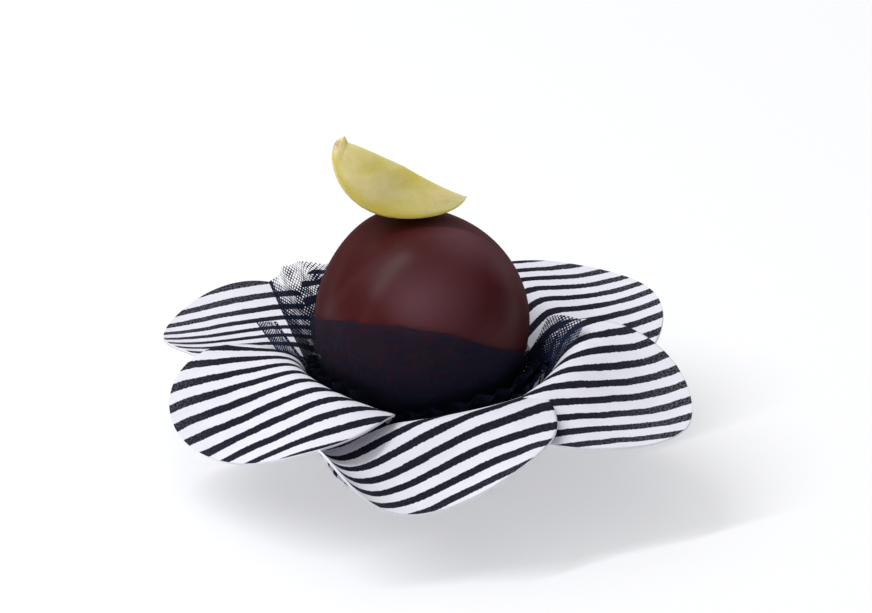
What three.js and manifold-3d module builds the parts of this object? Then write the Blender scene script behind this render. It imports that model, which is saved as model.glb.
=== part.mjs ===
// A round chocolate praline with a slice of green grape on top. It sits on a
// gathered square of dark net, in a striped case pressed into a six-petalled
// flower. Millimetres, +Z up, front towards -Y, and the origin is the middle
// of the case's flat underside.
import * as THREE from "three";
import { mergeVertices } from "three/addons/utils/BufferGeometryUtils.js";
import Module from "manifold-3d";

const wasm = await Module();
wasm.setup();

// Driving dimensions
const pralineRadius = 16;
const pralineCentreHeight = 23;
const baseRadius = 14.6;
const baseThickness = 0.8;
const wallFootRadius = 14;
const wallFootHeight = 0.4;
const petalThickness = 0.5;
const petalFootHalfWidth = 8.2;
const widestShare = 0.6; // share of a petal's length at which it is widest
const clearance = 0.3;
const grapeHalfLength = 10.5;
const grapeRadius = 7.9;
const grapeWedgeAngle = 72;
const grapeTilt = 27; // its left end is higher
const grapePlace = new THREE.Vector3(-2.7, 1.5, 0);
const netThickness = 0.6;
const netFootRadius = 13;
const netWallSlope = 77; // the net packs the case up to its steepest wall
const netFlareLateness = 5; // the flares turn outwards only near the edge

// Where the square of net flares away from the praline: the direction round
// the case, how far out and up its edge goes, and how wide the flare is.
const netFlares = [
  { heading: 8, outwards: 5.2, upwards: 14, halfWidth: 26 },
  { heading: 58, outwards: 3.2, upwards: 6, halfWidth: 20 },
  { heading: 103, outwards: 4.4, upwards: 9, halfWidth: 24 },
  { heading: 148, outwards: 6.6, upwards: 14, halfWidth: 24 },
  { heading: 180, outwards: 7.2, upwards: 0, halfWidth: 15 },
];

// One entry a petal, counted round the flower from the left back. Lengths are
// measured along the sheet from the wall's foot, angles are in degrees, and a
// petal's side runs from -1 at its clockwise edge to 1.
const petals = [
  {
    name: "left_back", heading: 157.0, length: 36.7, halfWidth: 16.3, squareness: 1.9,
    lean: -3.5, sway: -1.2, wallSlope: 66, crest: 14.7, crestSlant: 4.0, crestBow: -0.8, turn: 2.0,
    slope: -9, curl: 5, twist: -10, camber: 17, cube: 3, curlTwist: 13, curlCamber: 2,
  },
  {
    name: "left_front", heading: 206.8, length: 39.2, halfWidth: 16.5, squareness: 1.9,
    lean: -1.9, sway: 3.7, wallSlope: 77, crest: 19.2, crestSlant: 2.6, crestBow: -3.1, turn: 1.1,
    slope: -21, curl: -19, twist: -46, camber: 32, cube: 7, curlTwist: 50, curlCamber: -15,
  },
  {
    name: "front", heading: 272.2, length: 35.3, halfWidth: 17.4, squareness: 2.1,
    lean: 1.1, sway: 1.0, wallSlope: 77, crest: 17.9, crestSlant: 3.2, crestBow: -3.1, turn: 1.4,
    slope: -45, curl: 39, twist: 7, camber: 45, cube: -20, curlTwist: -24, curlCamber: 2,
  },
  {
    name: "right_front", heading: 335.4, length: 42.7, halfWidth: 16.1, squareness: 1.7,
    lean: -1.4, sway: -1.7, wallSlope: 70, crest: 21.8, crestSlant: 1.7, crestBow: -1.1, turn: 1.4,
    slope: -31, curl: 30, twist: -5, camber: 20, cube: 5, curlTwist: 16, curlCamber: -5,
  },
  {
    name: "right_back", heading: 33.1, length: 34.8, halfWidth: 16.0, squareness: 2.0,
    lean: 0.5, sway: 1.5, wallSlope: 60, crest: 18.8, crestSlant: 4.6, crestBow: -2.1, turn: 0.9,
    slope: -5, curl: 25, twist: -20, camber: -1, cube: 8, curlTwist: 16, curlCamber: 17,
  },
  {
    name: "back", heading: 95.0, length: 32.5, halfWidth: 17.0, squareness: 2.1,
    lean: 0.0, sway: 0.0, wallSlope: 66, crest: 16.0, crestSlant: 1.0, crestBow: 0.0, turn: 1.4,
    slope: -8, curl: 6, twist: 2, camber: 8, cube: 0, curlTwist: 0, curlCamber: 0,
  },
];

const radians = (degrees) => (degrees * Math.PI) / 180;
const clamp = (value, low, high) => Math.min(high, Math.max(low, value));
const smooth = (share) => share * share * (3 - 2 * share);

// A closed surface from a grid of outer points and a matching grid of inner
// points, both split into triangles alike, with a rim along every open edge.
function shell(rows, columns, outerPoint, innerPoint, wrapsRound) {
  const positions = [];
  const faces = [];
  const perSide = (rows + 1) * (columns + 1);
  for (const point of [outerPoint, innerPoint]) {
    for (let row = 0; row <= rows; row++) {
      for (let column = 0; column <= columns; column++) {
        positions.push(...point(row / rows, column / columns));
      }
    }
  }
  const at = (row, column) => row * (columns + 1) + column;
  const quad = (a, b, c, d) => faces.push(a, b, c, a, c, d);
  for (let row = 0; row < rows; row++) {
    for (let column = 0; column < columns; column++) {
      const corners = [
        at(row, column),
        at(row, column + 1),
        at(row + 1, column + 1),
        at(row + 1, column),
      ];
      quad(...corners);
      const [a, b, c, d] = corners.map((corner) => corner + perSide);
      faces.push(a, c, b, a, d, c);
    }
  }
  for (let column = 0; column < columns; column++) {
    quad(at(0, column + 1), at(0, column), at(0, column) + perSide, at(0, column + 1) + perSide);
    quad(at(rows, column), at(rows, column + 1), at(rows, column + 1) + perSide, at(rows, column) + perSide);
  }
  if (!wrapsRound) {
    for (let row = 0; row < rows; row++) {
      quad(at(row, 0), at(row + 1, 0), at(row + 1, 0) + perSide, at(row, 0) + perSide);
      quad(at(row + 1, columns), at(row, columns), at(row, columns) + perSide, at(row + 1, columns) + perSide);
    }
  }
  const geometry = new THREE.BufferGeometry();
  geometry.setAttribute("position", new THREE.Float32BufferAttribute(positions, 3));
  geometry.setIndex(faces);
  return geometry;
}

function toSolid(geometry) {
  geometry.deleteAttribute("normal");
  geometry.deleteAttribute("uv");
  const merged = mergeVertices(geometry, 1e-4);
  const mesh = new wasm.Mesh({
    numProp: 3,
    vertProperties: merged.attributes.position.array,
    triVerts: new Uint32Array(merged.index.array),
  });
  return new wasm.Manifold(mesh);
}

function toGeometry(solid) {
  const mesh = solid.getMesh();
  const geometry = new THREE.BufferGeometry();
  geometry.setAttribute("position", new THREE.BufferAttribute(mesh.vertProperties, mesh.numProp));
  geometry.setIndex(new THREE.BufferAttribute(mesh.triVerts, 1));
  return geometry;
}

// Half of a petal's width at a distance along it: it widens smoothly from the
// foot to its widest place and closes in a round end.
function petalHalfWidth(petal, along) {
  const widest = widestShare * petal.length;
  if (along < widest) {
    const share = smooth(clamp(along / widest, 0, 1));
    return petalFootHalfWidth + (petal.halfWidth - petalFootHalfWidth) * share;
  }
  const share = clamp((along - widest) / (petal.length - widest), 0, 1);
  return petal.halfWidth * (1 - share ** petal.squareness) ** (1 / petal.squareness);
}

// How far a petal's middle line leans to one side at a distance along it.
function petalLean(petal, along) {
  const share = along / petal.length;
  return petal.lean * share ** 2 + petal.sway * Math.sin(Math.PI * share);
}

// The middle of the sheet at a distance along the petal and across it. The
// sheet climbs the wall at one slope, turns over at the crest and runs out at
// another, and every line along it keeps its length. Round the wall it bends
// with the flower, and further out it flattens.
function petalPoint(petal, along, across) {
  const steps = 48;
  const curlReach = 20;
  const outerBendRadius = 200;
  const side = across / petal.halfWidth;
  const crest = petal.crest + petal.crestSlant * side + petal.crestBow * side ** 2;
  const sideSlope = petal.twist * side + petal.camber * side ** 2 + petal.cube * side ** 3;
  const curl = petal.curl + petal.curlTwist * side + petal.curlCamber * side ** 2;
  let radius = wallFootRadius;
  let height = wallFootHeight;
  for (let step = 0; step < steps; step++) {
    const past = (along * (step + 0.5)) / steps - crest;
    const turned = 1 / (1 + Math.exp(-past / petal.turn));
    const outer = petal.slope + sideSlope + (curl * Math.max(past, 0)) / curlReach;
    const slope = radians(petal.wallSlope * (1 - turned) + outer * turned);
    radius += (Math.cos(slope) * along) / steps;
    height += (Math.sin(slope) * along) / steps;
  }
  const flattened = smooth(clamp((along - crest + 4) / 12, 0, 1));
  const bend = (1 - flattened) / radius + flattened / outerBendRadius;
  const outwards = radius - (1 - Math.cos(across * bend)) / bend;
  const sideways = Math.sin(across * bend) / bend;
  const heading = radians(petal.heading);
  return new THREE.Vector3(
    outwards * Math.cos(heading) - sideways * Math.sin(heading),
    outwards * Math.sin(heading) + sideways * Math.cos(heading),
    height,
  );
}

// A thin sheet of even thickness on both sides of the petal's middle surface.
function petalSolid(petal) {
  const wallRows = 9;
  const roundRows = 6;
  const columns = 10;
  const lastTurn = radians(84);
  const step = 0.05;
  const widest = widestShare * petal.length;
  const alongAt = (share) => {
    const row = share * (wallRows + roundRows);
    if (row <= wallRows) return (row / wallRows) * widest;
    const turn = ((row - wallRows) / roundRows) * lastTurn;
    return widest + (petal.length - widest) * Math.sin(turn) ** (2 / petal.squareness);
  };
  const facePoint = (lift) => (rowShare, columnShare) => {
    const along = alongAt(rowShare);
    const across = petalLean(petal, along) + (2 * columnShare - 1) * petalHalfWidth(petal, along);
    const point = petalPoint(petal, along, across);
    const outwards = petalPoint(petal, along + step, across).sub(petalPoint(petal, along - step, across));
    const sideways = petalPoint(petal, along, across + step).sub(petalPoint(petal, along, across - step));
    const normal = outwards.cross(sideways).normalize();
    return point.addScaledVector(normal, lift).toArray();
  };
  const half = petalThickness / 2;
  return toSolid(shell(wallRows + roundRows, columns, facePoint(-half), facePoint(half), false));
}

// The case is one pressed sheet: a flat round base and six overlapping petals.
// A pocket sealed between two crossing petals is filled.
function caseSolid() {
  const baseSides = 48;
  const base = new THREE.CylinderGeometry(baseRadius, baseRadius, baseThickness, baseSides);
  base.rotateX(Math.PI / 2).translate(0, 0, baseThickness / 2);
  let solid = toSolid(base);
  for (const petal of petals) solid = solid.add(petalSolid(petal));
  const shells = solid.decompose().filter((part) => part.volume() > 0);
  return shells.reduce((joined, part) => joined.add(part));
}

// The praline is a ball that dipping left a little uneven: drawn up to the
// back left of its top, with a flatter shoulder at the right.
function pralineRadiusTowards(facing) {
  const shoulder = new THREE.Vector3(0.75, -0.1, 0.65).normalize();
  const top = new THREE.Vector3(-0.31, 0.43, 0.85).normalize();
  const flatter = 0.35 * Math.exp((facing.dot(shoulder) - 1) / 0.06);
  const drawnUp = 1.2 * Math.exp((facing.dot(top) - 1) / 0.12);
  return pralineRadius - flatter + drawnUp;
}

function pralineGeometry() {
  const ball = new THREE.SphereGeometry(1, 40, 28);
  ball.rotateX(Math.PI / 2);
  const places = ball.attributes.position;
  const point = new THREE.Vector3();
  for (let i = 0; i < places.count; i++) {
    point.fromBufferAttribute(places, i).normalize();
    point.setLength(pralineRadiusTowards(point));
    places.setXYZ(i, point.x, point.y, point.z + pralineCentreHeight);
  }
  return ball;
}

// The grape slice is a lengthwise wedge that lies on its skin. Its section is
// the edge where the two cuts meet, one cut face, the skin and the other cut
// face, and it closes to a point at both ends.
function grapeGeometry() {
  const sections = 22;
  const faceSteps = 3;
  const skinSteps = 10;
  const endFullness = 1.9;
  const fullerLeft = 0.22;
  const edgeSag = -0.4;
  const edgeSagRight = 1.1;
  const edgePeak = 1.0; // near its left end the cut edge turns up
  const leftEndDroop = 1.0; // only the very tip turns down
  const rightEndDroop = 0.1;
  const halfWedge = radians(grapeWedgeAngle / 2);
  const section = [[0, 0]];
  for (let i = 1; i < faceSteps; i++) section.push([i / faceSteps, -halfWedge]);
  for (let i = 0; i <= skinSteps; i++) section.push([1, halfWedge * ((2 * i) / skinSteps - 1)]);
  for (let i = faceSteps - 1; i > 0; i--) section.push([i / faceSteps, halfWedge]);
  const positions = [-grapeHalfLength, 0, -leftEndDroop, grapeHalfLength, 0, -rightEndDroop];
  for (let i = 1; i < sections; i++) {
    const share = -Math.cos((Math.PI * i) / sections);
    const round = (1 - Math.abs(share) ** endFullness) ** (1 / endFullness);
    const radius = grapeRadius * round * (1 - fullerLeft * share);
    const droop = leftEndDroop * Math.max(0, -share) ** 10 + rightEndDroop * Math.max(0, share) ** 4;
    const peak = edgePeak * Math.max(0, 1 - Math.abs(share + 0.93) / 0.09);
    for (const [reach, turn] of section) {
      const edge = (edgeSag + edgeSagRight * Math.max(0, share)) * (1 - share ** 2) - peak;
      const down = radius * reach * Math.cos(turn) + edge * (1 - reach) + droop;
      positions.push(grapeHalfLength * share, -radius * reach * Math.sin(turn), -down);
    }
  }
  const sides = section.length;
  const at = (ring, side) => 2 + ring * sides + (side % sides);
  const faces = [];
  for (let side = 0; side < sides; side++) {
    faces.push(0, at(0, side), at(0, side + 1));
    faces.push(1, at(sections - 2, side + 1), at(sections - 2, side));
    for (let ring = 0; ring < sections - 2; ring++) {
      const corners = [at(ring, side), at(ring + 1, side), at(ring + 1, side + 1), at(ring, side + 1)];
      faces.push(corners[0], corners[1], corners[2], corners[0], corners[2], corners[3]);
    }
  }
  const geometry = new THREE.BufferGeometry();
  geometry.setAttribute("position", new THREE.Float32BufferAttribute(positions, 3));
  geometry.setIndex(faces);
  geometry.rotateY(radians(grapeTilt));
  return lowerOnto(geometry.translate(grapePlace.x, grapePlace.y, pralineCentreHeight + 2 * pralineRadius));
}

// Lowers a shape straight down until its nearest point clears the praline.
function lowerOnto(geometry) {
  const centre = new THREE.Vector3(0, 0, pralineCentreHeight);
  const places = geometry.attributes.position;
  const point = new THREE.Vector3();
  const settlingSteps = 40;
  for (let step = 0; step < settlingSteps; step++) {
    let nearest = Infinity;
    for (let i = 0; i < places.count; i++) {
      point.fromBufferAttribute(places, i).sub(centre);
      const distance = point.length();
      nearest = Math.min(nearest, distance - pralineRadiusTowards(point.normalize()));
    }
    geometry.translate(0, 0, clearance - nearest);
  }
  return geometry;
}

// How far the net's edge stands off the praline in one direction round the
// case, and how far up it reaches, as an angle from straight down.
function netEdge(heading) {
  const lowAtRight = 84 - 8 * Math.cos(heading);
  const frontFlap = 27 * Math.max(0, -Math.sin(heading));
  const edge = { outwards: 0, reach: lowAtRight + frontFlap };
  for (const flare of netFlares) {
    let turn = heading - radians(flare.heading);
    turn = Math.atan2(Math.sin(turn), Math.cos(turn)) / radians(flare.halfWidth);
    const share = Math.abs(turn) < 1 ? Math.cos((Math.PI / 2) * turn) ** 2 : 0;
    edge.outwards += flare.outwards * share;
    edge.reach += flare.upwards * share;
  }
  return edge;
}

// The gathered net hugs the praline, and its edge flares out in places. Under
// the praline its folds pack the foot of the case, out to the wall.
function netPoint(share, heading, isOuter) {
  const edge = netEdge(heading);
  const reach = radians(edge.reach) * share;
  const hug = pralineRadius + 2 * clearance + edge.outwards * share ** netFlareLateness;
  let distance = hug;
  if (isOuter) {
    distance += netThickness;
    const wall = radians(90 - netWallSlope);
    const centre = pralineCentreHeight;
    const toWall = (netFootRadius + centre * Math.tan(wall)) / (Math.sin(reach) + Math.tan(wall) * Math.cos(reach));
    const toBase = (centre - baseThickness - clearance) / Math.max(Math.cos(reach), 0.01);
    const packed = 1 - smooth(clamp((reach - radians(44)) / radians(24), 0, 1));
    distance += Math.max(0, Math.min(toWall, toBase) - distance) * packed;
  }
  const out = distance * Math.sin(reach);
  return [out * Math.cos(heading), out * Math.sin(heading), pralineCentreHeight - distance * Math.cos(reach)];
}

function netGeometry() {
  const rows = 14;
  const columns = 60;
  const point = (isOuter) => (rowShare, columnShare) =>
    netPoint(rowShare, 2 * Math.PI * columnShare, isOuter);
  return toGeometry(toSolid(shell(rows, columns, point(true), point(false), true)));
}

const group = new THREE.Group();
function addNode(name, geometry, colour, roughness) {
  const material = new THREE.MeshStandardMaterial({ color: colour, roughness, metalness: 0 });
  const mesh = new THREE.Mesh(geometry, material);
  mesh.name = name;
  group.add(mesh);
}

addNode("flower_case", toGeometry(caseSolid()), 0xe6e4ee, 0.7);
addNode("net_wrap", netGeometry(), 0x1b2036, 0.8);
addNode("praline", pralineGeometry(), 0x4a1c1a, 0.35);
addNode("grape_slice", grapeGeometry(), 0xc8c060, 0.3);

export default group;
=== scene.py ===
from math import pi, radians

import bmesh
import bpy
import numpy as np
from mathutils import Matrix, Vector


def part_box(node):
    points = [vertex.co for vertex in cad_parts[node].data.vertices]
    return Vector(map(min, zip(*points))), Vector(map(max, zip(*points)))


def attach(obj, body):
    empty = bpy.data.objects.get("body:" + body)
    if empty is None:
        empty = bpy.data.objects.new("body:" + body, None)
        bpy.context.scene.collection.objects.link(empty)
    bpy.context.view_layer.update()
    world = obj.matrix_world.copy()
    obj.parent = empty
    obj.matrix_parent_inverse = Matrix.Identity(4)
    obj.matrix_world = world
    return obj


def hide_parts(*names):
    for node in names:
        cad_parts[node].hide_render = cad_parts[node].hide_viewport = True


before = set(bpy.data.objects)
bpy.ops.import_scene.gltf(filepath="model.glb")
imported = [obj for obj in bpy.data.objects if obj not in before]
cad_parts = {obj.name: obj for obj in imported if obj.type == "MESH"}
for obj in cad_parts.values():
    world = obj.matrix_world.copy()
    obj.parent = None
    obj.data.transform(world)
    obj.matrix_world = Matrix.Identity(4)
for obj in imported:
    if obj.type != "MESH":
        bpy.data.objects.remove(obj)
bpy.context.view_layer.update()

mm = 0.001
print("frame loaded with", ", ".join(sorted(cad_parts)))

photoCamera = {
    "elevation": 27.0,             # degrees above the table
    "distance": 550.0,             # millimetres from the praline's middle
    "focus": (0.0, 0.0, 23.0),     # the praline's middle
    "offCentre": (-2.07, -2.0),    # where it shows, right and up of the picture's middle
    "lens": 153.3,
}


def placeCamera(settings):
    # looks along +Y and down, turned only by its elevation
    tilt = radians(settings["elevation"])
    ahead = Vector((0.0, np.cos(tilt), -np.sin(tilt)))
    up = Vector((0.0, np.sin(tilt), np.cos(tilt)))
    right = Vector((1.0, 0.0, 0.0))
    target = Vector(settings["focus"]) - right * settings["offCentre"][0] - up * settings["offCentre"][1]
    data = bpy.data.cameras.new("camera")
    data.lens = settings["lens"]
    data.sensor_width = 36.0
    data.clip_start = 0.01
    camera = bpy.data.objects.new("camera", data)
    bpy.context.scene.collection.objects.link(camera)
    turn = Matrix((right, up, -ahead)).transposed().to_4x4()
    camera.matrix_world = Matrix.Translation((target - ahead * settings["distance"]) * mm) @ turn
    bpy.context.scene.camera = camera


placeCamera(photoCamera)
bpy.context.scene.view_settings.view_transform = "Standard"  # keeps the whites white and the darks deep


def smooth(share):
    # 3x2 - 2x3 between 0 and 1, flat outside
    share = np.clip(share, 0.0, 1.0)
    return share * share * (3.0 - 2.0 * share)


def lineThrough(places, count):
    # a smooth line through the places: each span is the cubic whose ends follow their neighbours
    places = np.array(places, float)
    ends = np.vstack([2 * places[0] - places[1], places, 2 * places[-1] - places[-2]])
    where = np.linspace(0.0, len(places) - 1.0, count)
    span = np.minimum(where.astype(int), len(places) - 2)
    x = (where - span)[:, None]
    a, b, c, d = (ends[span + k] for k in range(4))
    return 0.5 * (2 * b + (c - a) * x + (2 * a - 5 * b + 4 * c - d) * x**2 + (3 * b - a - 3 * c + d) * x**3)


def makePiece(name, grids, materials, flip=False):
    # each grid is rows x columns of points in millimetres, with its cloth places and its density
    mesh = bpy.data.meshes.new(name)
    allPoints, allFaces, allCloth, allDensity, first = [], [], [], [], 0
    for points, cloth, density in grids:
        rows, columns = points.shape[:2]
        row, column = np.meshgrid(np.arange(rows - 1), np.arange(columns - 1), indexing="ij")
        corner = (first + row * columns + column).ravel()
        quads = np.stack([corner, corner + 1, corner + columns + 1, corner + columns], axis=1)
        allPoints.append(points.reshape(-1, 3) * mm)
        allFaces.append(quads[:, ::-1] if flip else quads)
        allCloth.append(np.zeros((rows * columns, 2)) if cloth is None else cloth.reshape(-1, 2))
        allDensity.append(np.ones(rows * columns) if density is None else density.ravel())
        first += rows * columns
    faces = np.concatenate(allFaces)
    mesh.from_pydata(np.concatenate(allPoints), [], faces.tolist())
    clothMap = mesh.uv_layers.new(name="cloth")
    clothMap.data.foreach_set("uv", np.concatenate(allCloth)[faces.ravel()].ravel())
    packing = mesh.attributes.new("threadPacking", "FLOAT", "POINT")
    packing.data.foreach_set("value", np.concatenate(allDensity))
    mesh.polygons.foreach_set("use_smooth", np.ones(len(faces), bool))
    for material in materials:
        mesh.materials.append(material)
    work = bmesh.new()
    work.from_mesh(mesh)
    bmesh.ops.remove_doubles(work, verts=work.verts, dist=2e-6)  # closes seams and poles
    work.to_mesh(mesh)
    work.free()
    piece = bpy.data.objects.new(name, mesh)
    bpy.context.scene.collection.objects.link(piece)
    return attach(piece, "root")


def addNode(tree, kind, inputs=None, **settings):
    node = tree.nodes.new(kind)
    for key, value in settings.items():
        setattr(node, key, value)
    for key, value in (inputs or {}).items():
        if isinstance(value, bpy.types.NodeSocket):
            tree.links.new(value, node.inputs[key])
        else:
            node.inputs[key].default_value = value
    return node


def newMaterial(name, **constants):
    material = bpy.data.materials.new(name)
    material.use_nodes = True
    shader = material.node_tree.nodes["Principled BSDF"]
    for key, value in constants.items():
        shader.inputs[key].default_value = value
    return material, material.node_tree, shader


def newGroup(name, inputs, outputs):
    tree = bpy.data.node_groups.new(name, "ShaderNodeTree")
    for label, kind, value in inputs:
        socket = tree.interface.new_socket(label, in_out="INPUT", socket_type=kind)
        if value is not None:
            socket.default_value = value
    for label, kind in outputs:
        tree.interface.new_socket(label, in_out="OUTPUT", socket_type=kind)
    return tree, tree.nodes.new("NodeGroupInput").outputs, tree.nodes.new("NodeGroupOutput").inputs


def useGroup(tree, group, inputs):
    node = tree.nodes.new("ShaderNodeGroup")
    node.node_tree = group
    for key, value in inputs.items():
        if isinstance(value, bpy.types.NodeSocket):
            tree.links.new(value, node.inputs[key])
        else:
            node.inputs[key].default_value = value
    return node.outputs


def maths(tree, operation, first, second=0.0):
    return addNode(tree, "ShaderNodeMath", {0: first, 1: second}, operation=operation).outputs[0]


def blendColour(tree, share, first, second):
    node = addNode(tree, "ShaderNodeMix", {"Factor": share}, data_type="RGBA")
    for place, value in ((6, first), (7, second)):
        if isinstance(value, bpy.types.NodeSocket):
            tree.links.new(value, node.inputs[place])
        else:
            node.inputs[place].default_value = (*value, 1.0)
    return node.outputs[2]


def objectPlace(tree):
    return addNode(tree, "ShaderNodeTexCoord").outputs["Object"]


def clothPlace(tree):
    return addNode(tree, "ShaderNodeUVMap", uv_map="cloth").outputs[0]


def partsOf(tree, vector):
    return addNode(tree, "ShaderNodeSeparateXYZ", {0: vector}).outputs


def clamped(tree, value):
    return addNode(tree, "ShaderNodeClamp", {0: value}).outputs[0]


def easedStep(tree, value, start, end, low=0.0, high=1.0):
    # goes softly from low to high while the value goes from start to end
    limits = {"Value": value, "From Min": start, "From Max": end, "To Min": low, "To Max": high}
    return addNode(tree, "ShaderNodeMapRange", limits, interpolation_type="SMOOTHSTEP").outputs[0]


def vectorMaths(tree, operation, output, first, second=(0.0, 0.0, 0.0)):
    return addNode(tree, "ShaderNodeVectorMath", {0: first, 1: second}, operation=operation).outputs[output]


def bumpNormal(tree, height, depth, strength):
    given = {"Height": height, "Distance": depth, "Strength": strength}
    return addNode(tree, "ShaderNodeBump", given).outputs[0]


def buildCrossThreads():
    # two sets of threads at right angles: how near a place is to the closest thread of each
    tree, given, out = newGroup(
        "crossThreads",
        [("Vector", "NodeSocketVector", None), ("Pitch", "NodeSocketFloat", 0.4),
         ("Width", "NodeSocketFloat", 0.1)],
        [("Mask", "NodeSocketFloat"), ("Height", "NodeSocketFloat")],
    )
    parts = partsOf(tree, given["Vector"])
    halfPitch = maths(tree, "MULTIPLY", given["Pitch"], 0.5)
    halfWidth = maths(tree, "MULTIPLY", given["Width"], 0.5)
    inner = maths(tree, "MULTIPLY", halfWidth, 0.7)
    outer = maths(tree, "MULTIPLY", halfWidth, 1.3)
    near = [maths(tree, "PINGPONG", parts[axis], halfPitch) for axis in (0, 1)]
    lines = [easedStep(tree, distance, inner, outer, 1.0, 0.0) for distance in near]
    tree.links.new(maths(tree, "MAXIMUM", *lines), out["Mask"])
    tree.links.new(maths(tree, "DIVIDE", maths(tree, "ADD", *near), given["Pitch"]), out["Height"])
    return tree


def buildUnevenTone():
    # soft patches: noise of a given size, stretched to run from Low to High
    tree, given, out = newGroup(
        "unevenTone",
        [("Vector", "NodeSocketVector", None), ("Scale", "NodeSocketFloat", 200.0),
         ("Detail", "NodeSocketFloat", 3.0), ("Low", "NodeSocketFloat", 0.0),
         ("High", "NodeSocketFloat", 1.0)],
        [("Value", "NodeSocketFloat")],
    )
    noise = addNode(
        tree, "ShaderNodeTexNoise",
        {"Vector": given["Vector"], "Scale": given["Scale"], "Detail": given["Detail"]},
    ).outputs[0]
    spread = addNode(
        tree, "ShaderNodeMapRange",
        {"Value": noise, "From Min": 0.3, "From Max": 0.7, "To Min": given["Low"], "To Max": given["High"]},
    )
    tree.links.new(spread.outputs[0], out["Value"])
    return tree


crossThreads = buildCrossThreads()
unevenTone = buildUnevenTone()
print("shader groups built")


def unevenness(tree, place, scale, detail=3.0, low=0.0, high=1.0):
    given = {"Vector": place, "Scale": scale, "Detail": detail, "Low": low, "High": high}
    return useGroup(tree, unevenTone, given)[0]


stripedCloth = {
    "white": (0.84, 0.835, 0.91), "whiteShade": (0.79, 0.785, 0.87),
    "navy": (0.0080, 0.0080, 0.017), "navyWorn": (0.026, 0.028, 0.045), "navyEnd": (0.10, 0.105, 0.12),
    "period": 3.2,                    # millimetres from stripe to stripe
    "darkHalf": 0.70, "soft": 0.06,   # half of a dark stripe, and of its soft edge
    "wander": 0.30, "ragged": 0.14, "threadPitch": 0.26, "threadWidth": 0.1, "weaveDepth": 0.00003,
    "wornFrom": 0.034, "wornTo": 0.044, "wornMost": 0.9,   # metres from the middle of the foot
}


def makeStripedCloth(c):
    material, tree, shader = newMaterial("striped cloth", **{"Roughness": 0.8, "Specular IOR Level": 0.12})
    place = clothPlace(tree)
    wander = unevenness(tree, place, 0.16, 2.0, -c["wander"] / 2, c["wander"] / 2)
    ragged = unevenness(tree, place, 2.6, 2.0, -c["ragged"] / 2, c["ragged"] / 2)
    across = maths(tree, "ADD", partsOf(tree, place)[0], wander)
    fromMiddle = maths(tree, "ADD", maths(tree, "PINGPONG", across, c["period"] / 2), ragged)
    dark = easedStep(tree, fromMiddle, c["darkHalf"] - c["soft"], c["darkHalf"] + c["soft"], 1.0, 0.0)
    patches = unevenness(tree, place, 0.35)
    specks = maths(tree, "MULTIPLY", clamped(tree, unevenness(tree, place, 2.2, 2.0, -0.35, 0.75)), 0.8)
    reach = vectorMaths(tree, "LENGTH", "Value", objectPlace(tree))
    outer = easedStep(tree, reach, c["wornFrom"], c["wornTo"], 0.0, c["wornMost"])
    grains = clamped(tree, unevenness(tree, place, 3.2, 3.0, -1.6, 2.4))
    white = blendColour(tree, patches, c["white"], c["whiteShade"])
    navy = blendColour(tree, specks, c["navy"], c["navyWorn"])
    # the ink has rubbed thin at the petals' ends
    navy = blendColour(tree, maths(tree, "MULTIPLY", grains, outer), navy, c["navyEnd"])
    tree.links.new(blendColour(tree, dark, white, navy), shader.inputs["Base Color"])
    threads = useGroup(
        tree, crossThreads, {"Vector": place, "Pitch": c["threadPitch"], "Width": c["threadWidth"]})
    tree.links.new(bumpNormal(tree, threads["Height"], c["weaveDepth"], 0.6), shader.inputs["Normal"])
    return material


def makeClothEdge(c):
    # the cut edge shows the undyed core of the cloth
    material, tree, shader = newMaterial("cloth edge", **{"Roughness": 0.85})
    fuzz = unevenness(tree, objectPlace(tree), 2500.0, 2.0)
    tree.links.new(blendColour(tree, fuzz, c["white"], c["whiteShade"]), shader.inputs["Base Color"])
    return material


clothMaterial = makeStripedCloth(stripedCloth)
clothEdgeMaterial = makeClothEdge(stripedCloth)

flower = {
    "thickness": 0.38, "wallFootRadius": 14.0, "wallFootHeight": 0.5, "footHalfWidth": 8.2,
    "widestShare": 0.6, "rows": 100, "columns": 80, "steps": 60,
    "baseRadius": 14.5, "baseThickness": 0.8, "baseBevel": 0.2, "baseStripeTurn": 14.0,
    "tuck": (0.891, -0.454),   # a petal's hidden side goes this much back and up
    "notchAt": 13.5, "notchLength": 4.6,
}

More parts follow.
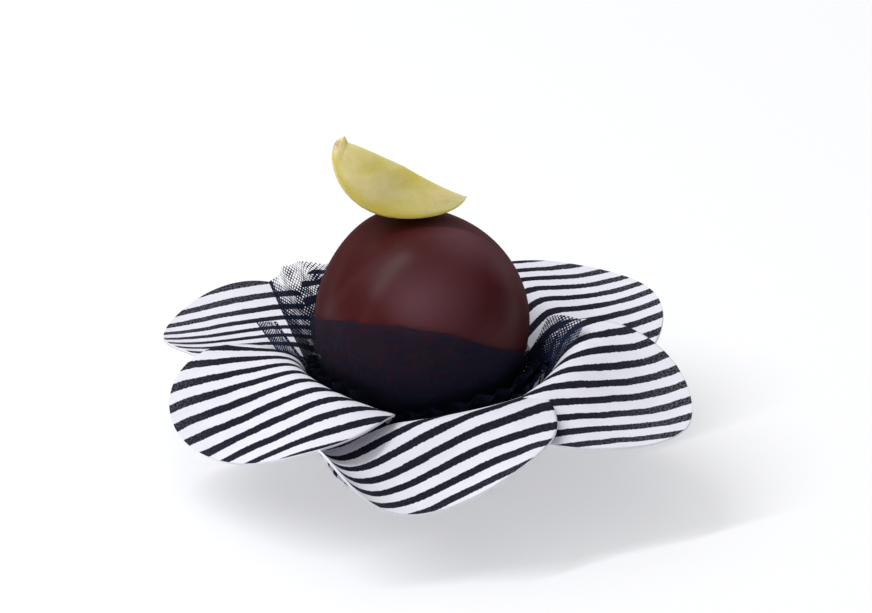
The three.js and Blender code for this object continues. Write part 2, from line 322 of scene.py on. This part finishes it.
# One petal after another counterclockwise, in millimetres and degrees. Lengths are
# along the cloth from the wall's foot. stripeTurn and phase place the stripes. under
# pushes its clockwise side back and down below the petal before it, over draws its
# other side up over the next one, and notch cuts that side in beside the crest.
petals = [
    {"name": "petalLeftBack", "heading": 156.97, "length": 36.75, "halfWidth": 16.26, "squareness": 1.92,
     "wallSlope": 65.61, "crest": 14.67, "turn": 1.98, "slope": -8.88, "curl": 4.99, "twist": -10.16,
     "camber": 16.9, "cube": 2.83, "crestSlant": 4.04, "crestBow": -0.79,
     "curlTwist": 12.92, "curlCamber": 1.89, "lean": -3.47, "sway": -1.2,
     "phase": 17.49, "stripeTurn": 16.02, "under": 0.0, "over": 0.0},
    {"name": "petalLeftFront", "heading": 206.77, "length": 39.15, "halfWidth": 16.46, "squareness": 1.89,
     "wallSlope": 76.99, "crest": 19.22, "turn": 1.14, "slope": -20.71, "curl": -19.29, "twist": -45.91,
     "camber": 32.49, "cube": 7.07, "crestSlant": 2.61, "crestBow": -3.12,
     "curlTwist": 49.96, "curlCamber": -15.1, "lean": -1.93, "sway": 3.73, "phase": -8.16, "stripeTurn": 1.25,
     "under": 0.0, "over": 0.0, "notch": 2.9},
    {"name": "petalFront", "heading": 272.19, "length": 35.25, "halfWidth": 17.39, "squareness": 2.13,
     "wallSlope": 76.93, "crest": 17.93, "turn": 1.44, "slope": -44.99, "curl": 39.25, "twist": 7.26,
     "camber": 44.64, "cube": -19.7, "crestSlant": 3.18, "crestBow": -3.12,
     "curlTwist": -23.8, "curlCamber": 1.94, "lean": 1.12, "sway": 1.04,
     "phase": -31.4, "stripeTurn": 15.25, "under": 0.0, "over": 1.2},
    {"name": "petalRightFront", "heading": 335.43, "length": 42.73, "halfWidth": 16.13, "squareness": 1.72,
     "wallSlope": 70.49, "crest": 21.81, "turn": 1.45, "slope": -31.3, "curl": 30.3, "twist": -5.11,
     "camber": 19.77, "cube": 5.47, "crestSlant": 1.75, "crestBow": -1.06,
     "curlTwist": 15.67, "curlCamber": -4.7, "lean": -1.42, "sway": -1.75,
     "phase": -42.73, "stripeTurn": 20.06, "under": 2.6, "over": 0.0},
    {"name": "petalRightBack", "heading": 33.13, "length": 34.78, "halfWidth": 16.04, "squareness": 1.99,
     "wallSlope": 59.9, "crest": 18.76, "turn": 0.92, "slope": -5.12, "curl": 24.71, "twist": -20.0,
     "camber": -1.34, "cube": 8.42, "crestSlant": 4.58, "crestBow": -2.14,
     "curlTwist": 15.6, "curlCamber": 16.58, "lean": 0.54, "sway": 1.53,
     "phase": 3.04, "stripeTurn": 13.45, "under": 0.0, "over": 0.0},
    {"name": "petalBack", "heading": 95.0, "length": 32.5, "halfWidth": 17.0, "squareness": 2.1,
     "wallSlope": 66.0, "crest": 16.0, "turn": 1.4, "slope": -8.0, "curl": 6.0, "twist": 2.0,
     "camber": 8.0, "cube": 0.0, "crestSlant": 1.0, "crestBow": 0.0,
     "curlTwist": 0.0, "curlCamber": 0.0, "lean": 0.0, "sway": 0.0,
     "phase": 0.0, "stripeTurn": 14.0, "under": 0.0, "over": 0.0},
]


def petalSurface(p, f, along, across):
    # the cloth climbs at wallSlope, turns over at the crest by an S-shaped blend and runs out at slope;
    # radius and height are the sums of the cosine and sine of the slope, and across it bends with the wall
    side = across / p["halfWidth"]
    crest = p["crest"] + p["crestSlant"] * side + p["crestBow"] * side**2
    outer = p["slope"] + p["twist"] * side + p["camber"] * side**2 + p["cube"] * side**3
    curl = p["curl"] + p["curlTwist"] * side + p["curlCamber"] * side**2
    share = ((np.arange(f["steps"]) + 0.5) / f["steps"])[:, None, None]
    past = along * share - crest
    turned = 1.0 / (1.0 + np.exp(-past / p["turn"]))
    outer = outer + curl * np.clip(past / 20.0, 0, None)
    slope = np.radians(p["wallSlope"] * (1 - turned) + outer * turned)
    radius = f["wallFootRadius"] + np.cos(slope).mean(axis=0) * along
    height = f["wallFootHeight"] + np.sin(slope).mean(axis=0) * along
    flattened = smooth((along - crest + 4.0) / 12.0)
    bend = (1 - flattened) / radius + flattened / 200.0
    outwards = radius - (1 - np.cos(across * bend)) / bend
    sideways = np.sin(across * bend) / bend
    heading = radians(p["heading"])
    x = outwards * np.cos(heading) - sideways * np.sin(heading)
    y = outwards * np.sin(heading) + sideways * np.cos(heading)
    out = smooth((along - crest + 6.0) / 8.0)
    back = out * (p["under"] * smooth((-0.15 - side) / 0.6) - p["over"] * smooth((side - 0.2) / 0.6))
    return np.stack([x, y + f["tuck"][0] * back, height + f["tuck"][1] * back], axis=-1)


def petalGrid(p, f):
    # rows run out along the petal and close in a round end, columns run across it
    length, widest = p["length"], f["widestShare"] * p["length"]
    share = np.linspace(0.0, 1.0, f["rows"])
    roundEnd = np.sin(np.clip((share - 0.6) / 0.4, 0, 1) * radians(88.0)) ** (2.0 / p["squareness"])
    along = np.where(share < 0.6, share / 0.6 * widest, widest + (length - widest) * roundEnd)
    past = np.clip((along - widest) / (length - widest), 0, 1)
    foot = f["footHalfWidth"]
    half = np.where(
        along < widest, foot + (p["halfWidth"] - foot) * smooth(along / widest),
        p["halfWidth"] * np.clip(1 - past ** p["squareness"], 0, None) ** (1 / p["squareness"]))
    middle = p["lean"] * (along / length) ** 2 + p["sway"] * np.sin(pi * along / length)
    side = np.linspace(-1.0, 1.0, f["columns"])
    across = middle[:, None] + half[:, None] * side[None, :]
    notch = p.get("notch", 0.0) * np.exp(-((along - f["notchAt"]) / f["notchLength"]) ** 2)
    across = across - notch[:, None] * smooth(side)[None, :]
    along = np.broadcast_to(along[:, None], across.shape)
    points = petalSurface(p, f, along, across)
    turn = radians(p["heading"] - p["stripeTurn"])
    flat = f["wallFootRadius"] + along
    cloth = np.stack([
        flat * np.sin(turn) + across * np.cos(turn) - p["phase"],
        flat * np.cos(turn) - across * np.sin(turn)], axis=-1)
    return points, cloth, None


def buildFlower(f):
    grids = [petalGrid(p, f) for p in petals]
    case = makePiece("flowerCase", grids, [clothMaterial, clothEdgeMaterial])
    thick = case.modifiers.new("thickness", "SOLIDIFY")
    thick.thickness = f["thickness"] * mm
    thick.offset = 0.0
    thick.material_offset_rim = 1
    return case


def buildBase(f):
    # a profile turned round the axis: flat underside, rounded rim, flat top
    r, t, bevel = f["baseRadius"], f["baseThickness"], f["baseBevel"]
    mid = 0.3 * bevel
    profile = np.array([
        (0, 0), (r * 0.5, 0), (r - bevel, 0), (r - mid, mid), (r, bevel),
        (r, t - bevel), (r - mid, t - mid), (r - bevel, t), (r * 0.5, t), (0, t)])
    turn = np.linspace(0, 2 * pi, 145)
    points = np.stack([
        profile[:, 0][:, None] * np.cos(turn), profile[:, 0][:, None] * np.sin(turn),
        np.broadcast_to(profile[:, 1][:, None], (len(profile), len(turn)))], axis=-1)
    lay = radians(f["baseStripeTurn"])
    cloth = np.stack([
        points[..., 1] * np.cos(lay) - points[..., 0] * np.sin(lay),
        points[..., 0] * np.cos(lay) + points[..., 1] * np.sin(lay)], axis=-1)
    base = makePiece("caseBase", [(points, cloth, None)], [clothMaterial], flip=True)
    return base


flowerCase = buildFlower(flower)
caseBase = buildBase(flower)
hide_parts("flower_case")
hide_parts("flower_case")
print("striped flower case made of", len(petals), "petals")

chocolate = {
    "radius": 16.0, "centreHeight": 23.0, "rows": 160, "columns": 240,
    # the pale plum colour stands both for chocolate bloom and for painted highlight
    "brown": (0.070, 0.0120, 0.0130), "brownDeep": (0.050, 0.0075, 0.0085), "bloomAndPaintedHighlight": (0.150, 0.064, 0.080),
    "gloss": 0.088, "roughness": (0.285, 0.34), "edgeRoughness": 0.8,
    "fadeFrom": 0.35, "fadeTo": 0.75,    # how much edge-on the surface is where its gloss fades
    "streakTurn": (0.0, -30.7, 17.6), "streakLength": 7.0,   # degrees, and how often longer than wide
    "streakBloomAndHighlight": 0.12, "bumpDepth": 0.00010,
    "bloomAndHighlightPatches": [  # patches of bloom that also paint highlights: middle and reach in metres, and how strong
        ((-0.0010, -0.0130, 0.0322), 0.0062, 0.44), ((0.0029, -0.0127, 0.0322), 0.0105, 0.38),
        ((0.0066, -0.0010, 0.0376), 0.009, 0.65), ((0.0123, -0.0011, 0.0332), 0.007, 0.50)],
}


def makeChocolate(c):
    material, tree, shader = newMaterial("dark chocolate", **{"Specular IOR Level": c["gloss"]})
    place = objectPlace(tree)
    streakPlace = addNode(
        tree, "ShaderNodeMapping",
        {"Vector": place, "Rotation": tuple(radians(a) for a in c["streakTurn"]),
         "Scale": (c["streakLength"], 1.0, 1.0)}, vector_type="TEXTURE").outputs[0]
    streaks = clamped(tree, unevenness(tree, streakPlace, 190.0, 2.0, -0.9, 1.0))
    brown = blendColour(tree, unevenness(tree, place, 110.0), c["brown"], c["brownDeep"])
    # pale streaks slanted the way the highlight runs: partly bloom, partly a painted highlight
    brown = blendColour(tree, maths(tree, "MULTIPLY", streaks, c["streakBloomAndHighlight"]), brown, c["bloomAndPaintedHighlight"])
    # pale patches, partly bloom and partly a painted highlight where the broad soft gleam lies on the ball
    for middle, reach, amount in c["bloomAndHighlightPatches"]:
        gap = vectorMaths(tree, "DISTANCE", "Value", place, middle)
        brown = blendColour(tree, easedStep(tree, gap, 0.0, reach, amount, 0.0), brown, c["bloomAndPaintedHighlight"])
    tree.links.new(brown, shader.inputs["Base Color"])
    rough = unevenness(tree, streakPlace, 260.0, 3.0, *c["roughness"])
    # seen at a low angle the fine grain of the surface leaves hardly any gloss
    facing = addNode(tree, "ShaderNodeLayerWeight", {"Blend": 0.5}).outputs["Facing"]
    low = easedStep(tree, facing, c["fadeFrom"], c["fadeTo"])
    grain = maths(tree, "MULTIPLY", low, maths(tree, "SUBTRACT", c["edgeRoughness"], rough))
    tree.links.new(maths(tree, "ADD", rough, grain), shader.inputs["Roughness"])
    fine = maths(tree, "MULTIPLY", unevenness(tree, place, 420.0, 2.0), 0.2)
    height = maths(tree, "ADD", fine, maths(tree, "MULTIPLY", streaks, 0.8))
    tree.links.new(bumpNormal(tree, height, c["bumpDepth"], 0.3), shader.inputs["Normal"])
    return material


def pralineRadiusTowards(facing, c):
    # a ball, a little flatter at its right shoulder and drawn up to the back left of its top
    shoulder = np.array([0.75, -0.1, 0.65]) / np.linalg.norm([0.75, -0.1, 0.65])
    top = np.array([-0.31, 0.43, 0.85]) / np.linalg.norm([-0.31, 0.43, 0.85])
    flatter = 0.35 * np.exp((facing @ shoulder - 1) / 0.06)
    drawnUp = 1.2 * np.exp((facing @ top - 1) / 0.12)
    return c["radius"] - flatter + drawnUp


def buildPraline(c):
    # a ball by heading and angle from the bottom, with a few long low waves from dipping
    down = np.linspace(0, pi, c["rows"])[:, None]
    turn = np.linspace(0, 2 * pi, c["columns"] + 1)[None, :]
    facing = np.stack([
        np.sin(down) * np.cos(turn), np.sin(down) * np.sin(turn),
        -np.cos(down) * np.ones_like(turn)], axis=-1)
    waves = 0.05 * np.sin(3.1 * facing[..., 0] + 4.3 * facing[..., 2] + 1.0)
    waves += 0.03 * np.sin(7.3 * facing[..., 1] - 5.1 * facing[..., 2]) * np.sin(down)
    points = facing * (pralineRadiusTowards(facing, c) + waves)[..., None]
    points[..., 2] += c["centreHeight"]
    ball = makePiece("chocolatePraline", [(points, None, None)], [makeChocolate(c)])
    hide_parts("praline")
    return ball


praline = buildPraline(chocolate)
print("praline made")

grape = {
    "halfLength": 10.5, "radius": 7.9, "wedge": 72.0, "tilt": 27.0, "endFullness": 1.9, "fullerLeft": 0.22,
    "sag": -0.4, "sagRight": 1.1,                         # how far its edge dips, and more to the right
    "peak": 1.1, "peakAt": -0.93, "peakReach": 0.09,      # its edge turns up near the left end
    "leftDroop": 1.0, "rightDroop": 0.1, "bow": 0.35,
    "rows": 150, "facePoints": 26, "skinPoints": 40, "rounding": 6,
    "flesh": (0.69, 0.58, 0.125), "fleshPale": (0.84, 0.73, 0.42), "rim": (0.64, 0.49, 0.05),
    "green": (0.50, 0.56, 0.08), "brown": (0.36, 0.19, 0.07),
}


def grapeGrid(g):
    # a lengthwise wedge: each section goes out along one cut, round the skin and back along the other cut
    half = radians(g["wedge"] / 2)
    out = np.linspace(0, 1, g["facePoints"])
    round_ = np.linspace(-half, half, g["skinPoints"])
    reach = np.concatenate([out[:-1], np.ones(g["skinPoints"]), out[-2::-1]])
    turn = np.concatenate([np.full(g["facePoints"] - 1, -half), round_, np.full(g["facePoints"] - 1, half)])
    share = -np.cos(np.linspace(0.001, pi - 0.001, g["rows"]))[:, None]
    radius = g["radius"] * (1 - np.abs(share) ** g["endFullness"]) ** (1 / g["endFullness"])
    radius = radius * (1 - g["fullerLeft"] * share)
    edge = (g["sag"] + g["sagRight"] * np.clip(share, 0, 1)) * (1 - share**2)
    edge = edge - g["peak"] * np.clip(1 - np.abs(share - g["peakAt"]) / g["peakReach"], 0, 1)
    # the cuts aren't quite flat
    bow = g["bow"] * np.sin(5.0 * share + 0.7) * np.sin(pi * reach) * np.sign(turn)
    across = -radius * reach * np.sin(turn) + bow * radius / g["radius"]
    droop = g["leftDroop"] * np.clip(-share, 0, 1) ** 10 + g["rightDroop"] * np.clip(share, 0, 1) ** 4
    down = radius * reach * np.cos(turn) + edge * (1 - reach) + droop
    section = np.stack([across, -down], axis=-1)[:, :-1]
    for _ in range(g["rounding"]):  # each pass eases the three long edges
        section = 0.5 * section + 0.25 * (np.roll(section, 1, axis=1) + np.roll(section, -1, axis=1))
    section = np.concatenate([section, section[:, :1]], axis=1)
    x = np.broadcast_to(g["halfLength"] * share, section.shape[:2])
    lean = radians(g["tilt"])
    points = np.stack([
        x * np.cos(lean) + section[..., 1] * np.sin(lean), section[..., 0],
        -x * np.sin(lean) + section[..., 1] * np.cos(lean)], axis=-1)
    onSkin = np.broadcast_to(np.append(reach[:-1], 0.0)[None, :], section.shape[:2])
    cloth = np.stack([x, onSkin], axis=-1)
    return points, cloth


def makeGrapeFlesh(g, leftTip):
    material, tree, shader = newMaterial(
        "grape flesh", **{"Subsurface Weight": 0.55, "Subsurface Radius": (0.0035, 0.003, 0.0012),
                          "Subsurface Scale": 1.0, "Coat Weight": 0.35, "Coat Roughness": 0.12, "IOR": 1.38})
    place, lengthwise = objectPlace(tree), clothPlace(tree)
    along, out = partsOf(tree, lengthwise)[:2]
    toEnd = maths(tree, "DIVIDE", maths(tree, "ABSOLUTE", along), g["halfLength"])
    toEnd = maths(tree, "POWER", toEnd, 2.5)
    patches = unevenness(tree, place, 260.0, 4.0)
    fibrePlace = addNode(
        tree, "ShaderNodeMapping", {"Vector": lengthwise, "Scale": (0.25, 2.6, 1.0)}).outputs[0]
    fibres = unevenness(tree, fibrePlace, 1.1)
    tipGap = vectorMaths(tree, "DISTANCE", "Value", place, leftTip)
    colour = g["flesh"]
    for share, amount, next_ in (
        (patches, 0.85, "fleshPale"), (toEnd, 0.8, "fleshPale"),
        (easedStep(tree, out, 0.72, 1.0), 0.85, "rim"), (fibres, 0.2, "green"),
        (easedStep(tree, tipGap, 0.0004, 0.0014, 1.0, 0.0), 0.7, "brown"),
    ):
        colour = blendColour(tree, maths(tree, "MULTIPLY", share, amount), colour, g[next_])
    tree.links.new(colour, shader.inputs["Base Color"])
    tree.links.new(unevenness(tree, place, 700.0, 2.0, 0.22, 0.42), shader.inputs["Roughness"])
    height = maths(tree, "ADD", fibres, patches)
    tree.links.new(bumpNormal(tree, height, 0.00022, 0.5), shader.inputs["Normal"])
    return material


def buildGrape(g):
    points, cloth = grapeGrid(g)
    low, high = (np.array(corner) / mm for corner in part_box("grape_slice"))
    own = points.reshape(-1, 3)
    points = points + (low + high) / 2 - (own.min(axis=0) + own.max(axis=0)) / 2
    tip = points[:4].reshape(-1, 3).mean(axis=0) * mm
    slice_ = makePiece("grapeSlice", [(points, cloth, None)], [makeGrapeFlesh(g, tuple(tip))])
    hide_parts("grape_slice")
    return slice_


grapeSlice = buildGrape(grape)
print("grape slice made")

net = {
    # the second navy is the same net painted lighter, as if lit, for the corners clear of the praline
    "navy": (0.0058, 0.0074, 0.0180), "navyPaintedLit": (0.012, 0.021, 0.058), "pitch": 0.5, "tight": 0.97,
    "columns": 420, "rows": 46, "flapColumns": 110, "flapRows": 60,
    "clearance": 0.45, "hugRadius": 16.6, "hugFrom": 35.0,    # degrees from the praline's underside
    "hugFiner": 1.7,                                          # two layers look finer
    # where the net that lies on the praline ends: heading and height
    "frontEdge": [(0, 18.5), (40, 17.5), (90, 20), (140, 23), (170, 24), (193, 25.4), (227, 28.8),
                  (258, 29.7), (274, 29.2), (285, 28.5), (302, 26.2), (342, 20.3), (360, 18.5)],
    # how far below the case's crest the pleats end: heading and drop
    "lowAt": [(0, 1.9), (15, 3.6), (70, 3.6), (110, 1.0), (150, 0.2), (325, 0.2), (342, 1.3), (360, 1.9)],
    "pleatFoot": 1.6, "pleatInside": 17.0, "wallFoot": 13.6, "wallWidens": 0.23, "fromCrest": 0.85,
}
pleats = [  # share of the way from the praline to the case, height over its crest, depth and number of folds
    {"between": 0.35, "over": 0.5, "depth": 0.7, "folds": 31, "phase": 0.4},
    {"between": 1.0, "over": -0.9, "depth": 0.9, "folds": 37, "phase": 2.1},
]
# The corners that stand up. densities are those of the lower and the upper line, fade
# is how late the net opens between them, fold the width of its dark folded edge,
# finer how often its threads are closer than the plain net's, and bands its pleats.
flaps = [
    {"name": "backLeft", "bulge": 0.15, "waves": 3.5, "depth": 0.3, "densities": (0.88, 0.25),
     "fade": 2.1, "fold": 2.1, "finer": 1.15, "bands": 0.14,
     "lower": [(-16.9, 0.3, 14.9), (-15.5, 8.0, 13.5), (-11.0, 13.0, 13.5), (-6.0, 16.5, 14.0)],
     "upper": [(-22.7, 8.0, 25.2), (-20.5, 12.0, 26.0), (-16.9, 15.0, 25.2), (-10.0, 18.0, 22.0)]},
    {"name": "leftStrip", "bulge": 0.1, "waves": 1.0, "depth": 0.1, "densities": (0.92, 0.66),
     "fade": 1.0, "fold": 0.6, "finer": 1.9, "bands": 0.0,
     "lower": [(-19.3, -1.6, 15.5), (-17.5, -0.2, 15.4)], "upper": [(-24.6, 2.0, 21.6), (-22.2, 3.0, 21.2)]},
    {"name": "leftStripHem", "bulge": 0.1, "waves": 1.0, "depth": 0.0, "densities": (0.97, 0.85),
     "fade": 1.0, "fold": 0.6, "finer": 1.2, "bands": 0.0,
     "lower": [(-17.5, -0.2, 15.4), (-17.1, 0.1, 15.4)], "upper": [(-22.2, 3.0, 21.2), (-21.7, 3.2, 21.1)]},
    {"name": "rightCorner", "bulge": 0.2, "waves": 2.0, "depth": 0.25, "densities": (0.965, 0.57),
     "fade": 1.15, "fold": 0.2, "finer": 1.1, "bands": 0.1,
     "lower": [(15.6, -9.6, 14.6), (17.4, -7.0, 15.6), (18.2, -4.4, 16.6), (17.8, -2.6, 17.0),
               (17.0, -1.0, 17.0), (15.6, 1.0, 16.4)],
     "upper": [(20.8, -4.9, 19.6), (23.4, -2.7, 21.8), (23.9, -0.8, 22.9), (22.3, 0.5, 23.2),
               (20.4, 1.1, 23.3), (18.3, 1.5, 22.7)]},
]


def makeNetMaterial(n):
    material, tree, shader = newMaterial("navy net", **{"Roughness": 0.8, "Specular IOR Level": 0.12})
    place = clothPlace(tree)
    turned = addNode(
        tree, "ShaderNodeMapping", {"Vector": place, "Rotation": (0, 0, radians(45.0))}).outputs[0]
    density = addNode(tree, "ShaderNodeAttribute", attribute_name="threadPacking").outputs["Fac"]
    loose = maths(tree, "MINIMUM", maths(tree, "MULTIPLY", maths(tree, "SUBTRACT", 1.0, density), 3.2), 1.0)
    # mottled where it is loose, even where it is tight
    mottled = maths(tree, "MULTIPLY", unevenness(tree, place, 0.55, 3.0, -0.32, 0.32), loose)
    limits = {"From Min": 0.0, "From Max": 0.985, "To Max": 0.985}
    density = addNode(
        tree, "ShaderNodeMapRange", {"Value": maths(tree, "ADD", density, mottled), **limits}).outputs[0]
    open_ = maths(tree, "SQRT", maths(tree, "SUBTRACT", 1.0, density))
    width = maths(tree, "MULTIPLY", maths(tree, "SUBTRACT", 1.0, open_), n["pitch"])
    threads = useGroup(tree, crossThreads, {"Vector": turned, "Pitch": n["pitch"], "Width": width})
    tree.links.new(threads["Mask"], shader.inputs["Alpha"])
    colour = blendColour(tree, unevenness(tree, place, 0.9), n["navy"], tuple(1.9 * v for v in n["navy"]))
    # painted light: the corners that stand clear of the praline are painted a lighter blue as if lit, while
    # the net on the praline is left darker as if in its shade
    level = vectorMaths(tree, "MULTIPLY", "Vector", objectPlace(tree), (1.0, 1.0, 0.0))
    paintedLitShare = easedStep(tree, vectorMaths(tree, "LENGTH", "Value", level), 0.0174, 0.0205)
    tree.links.new(blendColour(tree, paintedLitShare, colour, n["navyPaintedLit"]), shader.inputs["Base Color"])
    return material


def crestAround(f, turn):
    # the highest crest of the case at each heading: its radius and height
    best = np.full(turn.shape, -1.0)
    radius = np.full(turn.shape, 16.0)
    for p in petals:
        across = np.linspace(-0.8, 0.8, 60) * p["halfWidth"]
        side = across / p["halfWidth"]
        along = p["crest"] + p["crestSlant"] * side + p["crestBow"] * side**2 - 0.4
        line = petalSurface(p, f, along[None, :], across[None, :])[0]
        heading = np.unwrap(np.arctan2(line[:, 1], line[:, 0]))
        order = np.argsort(heading)
        own = (turn - heading.mean() + pi) % (2 * pi) - pi + heading.mean()
        height = np.interp(own, heading[order], line[order, 2], left=-2.0, right=-2.0)
        reach = np.interp(own, heading[order], np.hypot(line[order, 0], line[order, 1]))
        radius = np.where(height > best, reach, radius)
        best = np.maximum(height, best)
    kernel = np.hanning(25)
    kernel /= kernel.sum()
    pad = len(kernel) // 2

    def soften(values):
        closed = np.concatenate([values[:-1][-pad:], values[:-1], values[:-1][:pad]])
        eased = np.convolve(closed, kernel, mode="valid")
        return np.append(eased, eased[0])

    return soften(radius), soften(best)


def hugLayer(n, c):
    # lies on the praline: angle from the bottom up to the net's edge, with faint pleats
    turn = np.linspace(0, 2 * pi, n["columns"] + 1)
    headings, heights = np.array(n["frontEdge"], float).T
    top = np.interp(np.degrees(turn), headings, heights) + 0.05 * np.sin(9 * turn)
    start = radians(n["hugFrom"])
    reach = np.arccos(np.clip((c["centreHeight"] - top) / n["hugRadius"], -1, 1))
    share = np.linspace(0, 1, n["rows"])[:, None]
    down = start + (reach[None, :] - start) * share
    distance = c["radius"] + n["clearance"] + 0.12 * share * np.sin(17 * turn + 3 * share)
    points = np.stack([
        distance * np.sin(down) * np.cos(turn), distance * np.sin(down) * np.sin(turn),
        c["centreHeight"] - distance * np.cos(down)], axis=-1)
    around = np.broadcast_to(turn * c["radius"], down.shape)
    cloth = n["hugFiner"] * np.stack([around, down * (c["radius"] + 0.5)], axis=-1)
    density = 0.58 + 0.39 * smooth(1 - share * 1.1) + 0.2 * np.clip(np.cos(turn + 0.5), 0, 1) ** 2
    density = np.where(share > 0.985, 0.8, density)  # the cut edge
    return points, cloth, density


def pleatLayer(n, p, f, c):
    # stands between the praline and the case, from the case's foot up to its crest, in upright pleats
    turn = np.linspace(0, 2 * pi, n["columns"] + 1)
    crestRadius, crestHeight = crestAround(f, turn)
    ragged = 0.2 * np.sin(5 * turn + p["phase"]) + 0.15 * np.sin(11 * turn + 2 * p["phase"])
    headings, drops = np.array(n["lowAt"], float).T
    top = crestHeight + p["over"] + ragged - np.interp(np.degrees(turn), headings, drops)
    share = np.linspace(0, 1, n["rows"])[:, None]
    foot, wallFoot = n["pleatFoot"], f["wallFootHeight"]
    height = foot + (top[None, :] - foot) * share
    climb = np.clip((height - foot) / (crestHeight - foot), 0, 1.05)
    atCrest = n["wallFoot"] + (crestHeight - wallFoot) * n["wallWidens"]
    wall = n["wallFoot"] + (height - wallFoot) * n["wallWidens"]    # inside the steepest wall of the case
    wall = wall + (crestRadius - n["fromCrest"] - atCrest) * climb**6
    offCentre = np.clip(c["centreHeight"] - height, 0, n["hugRadius"])
    ball = np.maximum(np.sqrt(np.clip(n["pleatInside"] ** 2 - offCentre**2, 0, None)), 8.0)
    radius = ball + (wall - ball) * p["between"]
    swing = np.sin(p["folds"] * turn + p["phase"] + 0.6 * np.sin(3 * turn))
    radius += p["depth"] * share * swing * np.minimum(1, (wall - ball) / 2)
    radius = np.minimum(radius, wall)
    points = np.stack([radius * np.cos(turn), radius * np.sin(turn), height], axis=-1)
    cloth = np.stack([np.broadcast_to(turn * n["pleatInside"], height.shape), height], axis=-1)
    density = n["tight"] - 0.07 * smooth((share - 0.8) / 0.2) + 0 * height
    return points, cloth, density


def flapLayer(n, p):
    # a ruled sheet from a lower line to an upper line, bowed outwards and rippled across; it is darker along
    # its folded edge, and in bands where pleats lie over each other
    low, high = lineThrough(p["lower"], n["flapColumns"]), lineThrough(p["upper"], n["flapColumns"])
    share = np.linspace(0, 1, n["flapRows"])[:, None, None]
    across = np.linspace(0, 1, n["flapColumns"])[None, :, None]
    points = low[None] * (1 - share) + high[None] * share
    outward = points * np.array([1.0, 1.0, 0.0])
    outward = outward / np.linalg.norm(outward, axis=-1, keepdims=True)
    swing = 2 * pi * p["waves"] * across + 1.5 * share
    ripple = p["depth"] * np.sin(swing) * (0.3 + 0.7 * share)
    points = points + outward * (p["bulge"] * np.sin(pi * share) + ripple)
    span = np.linalg.norm(high - low, axis=-1).mean()
    width = np.linalg.norm(np.diff(high, axis=0), axis=-1).sum()
    share, across, swing = share[..., 0], across[..., 0], swing[..., 0]
    cloth = p["finer"] * np.stack(np.broadcast_arrays(across * width, share * span), axis=-1)
    foot, top = p["densities"]
    density = foot + (top - foot) * share ** p["fade"] + p["bands"] * (0.5 - 0.5 * np.cos(swing)) ** 2
    folded = across * width < p["fold"] * (1.3 - share)
    return points, cloth, np.where(folded, n["tight"], np.clip(density, 0, n["tight"]))


def buildNet(n, f, c):
    grids = [hugLayer(n, c)]
    grids += [pleatLayer(n, p, f, c) for p in pleats]
    grids += [flapLayer(n, p) for p in flaps]
    wrap = makePiece("netWrap", grids, [makeNetMaterial(n)])
    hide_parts("net_wrap")
    return wrap


netWrap = buildNet(net, flower, chocolate)
print("net gathered round the praline")

studio = {
    "skyLow": 0.14, "skyHigh": 0.97,      # the room is dim at eye level and bright overhead
    "rightShare": 0.22,                   # and darker towards its right side
    "tableGlow": 0.43, "table": (0.59, 0.593, 0.605),
    "lights": [  # name, place in metres, direction of its long side, size, watts, colour
        ("softboxStrip", (-0.51, -0.076, 0.88), (0.74, 0.55, 0.40), (0.90, 0.035), 5.2, (0.98, 0.98, 1.0)),
    ],
}


def buildStudio(s):
    world = bpy.data.worlds.new("studio")
    world.use_nodes = True
    tree = world.node_tree
    towards = addNode(tree, "ShaderNodeTexCoord").outputs["Generated"]
    parts = partsOf(tree, towards)
    bright = easedStep(tree, parts[2], 0.12, 0.85, s["skyLow"], s["skyHigh"])
    bright = maths(tree, "MULTIPLY", bright, easedStep(tree, parts[0], 0.0, 0.85, 1.0, s["rightShare"]))
    tree.nodes["Background"].inputs[0].default_value = (1, 1, 1, 1)
    tree.links.new(bright, tree.nodes["Background"].inputs[1])
    bpy.context.scene.world = world
    for name, place, along, size, watts, colour in s["lights"]:
        data = bpy.data.lights.new(name, "AREA")
        data.shape, data.size, data.size_y = "RECTANGLE", size[0], size[1]
        data.energy, data.color = watts, colour
        back = (Vector(place) - Vector((0, 0, 0.02))).normalized()
        side = Vector(along).normalized()
        side = (side - back * side.dot(back)).normalized()
        lamp = bpy.data.objects.new(name, data)
        turn = Matrix((side, back.cross(side), back)).transposed().to_4x4()
        lamp.matrix_world = Matrix.Translation(place) @ turn
        bpy.context.scene.collection.objects.link(lamp)
    material, tree, shader = newMaterial("pale table", **{"Roughness": 0.6, "Specular IOR Level": 0.1})
    tone = unevenness(tree, objectPlace(tree), 3.0, 1.0)
    shade = tuple(0.985 * v for v in s["table"])
    tree.links.new(blendColour(tree, tone, s["table"], shade), shader.inputs["Base Color"])
    shader.inputs["Emission Color"].default_value = (0.98, 0.985, 1.0, 1.0)
    shader.inputs["Emission Strength"].default_value = s["tableGlow"]
    bpy.ops.mesh.primitive_plane_add(size=6.0)
    floor = bpy.context.object
    floor.name = "floor"
    floor.data.materials.append(material)


buildStudio(studio)
print("studio set")
